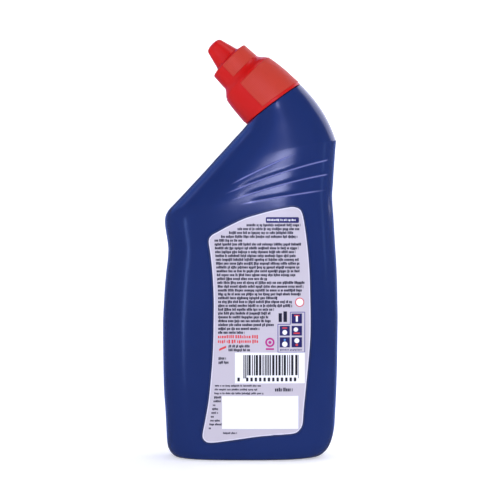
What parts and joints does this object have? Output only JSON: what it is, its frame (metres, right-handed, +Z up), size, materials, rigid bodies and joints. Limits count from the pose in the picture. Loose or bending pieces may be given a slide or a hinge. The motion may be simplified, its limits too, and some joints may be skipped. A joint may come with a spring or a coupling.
{
  "type": "toilet cleaner bottle",
  "caption": "Flat upright cleaner bottle with an angled neck, a squeeze-and-turn screw cap over a nozzle, and a label on each face.",
  "frame": {"origin": "middle of the bounding box's footprint, on the surface the bottle stands on", "axes": "+Z up; the spout leans towards -X; -Y is the side with the back label, the side the picture shows; +Y is the side with the front label"},
  "size_m": [0.0898, 0.0512, 0.2145],
  "materials": {
    "bottle": "blow-moulded polyethylene, deep blue, satin gloss",
    "cap": "injection-moulded polypropylene, red, smooth with finely stippled squeeze pads",
    "nozzle": "moulded natural white polyethylene",
    "seal": "soft pale elastomer",
    "back_label": "printed film, pale lavender grey",
    "front_label": "printed film, pale lavender grey with plain colour fields"
  },
  "bodies": {
    "bottle": {"bottle": "bottle", "nozzle_insert": "nozzle", "back_label": "back_label", "front_label": "front_label"},
    "seal": {"tip_seal": "seal"},
    "cap": {"screw_cap": "cap"}
  },
  "joints": [
    {"name": "cap_lift", "type": "slide", "parent": "bottle", "child": "seal", "axis": [-0.7131, 0, 0.701], "range_m": [0, 0.0455]},
    {"name": "cap_turn", "type": "hinge", "parent": "seal", "child": "cap", "pos_m": [0.01208, 0, 0.1809], "axis": [-0.7131, 0, 0.701], "range_deg": [0, 1170]}
  ],
  "couplings": [
    {"joint": "cap_turn", "follows": "cap_lift", "rad_per_m": 448.79}
  ]
}
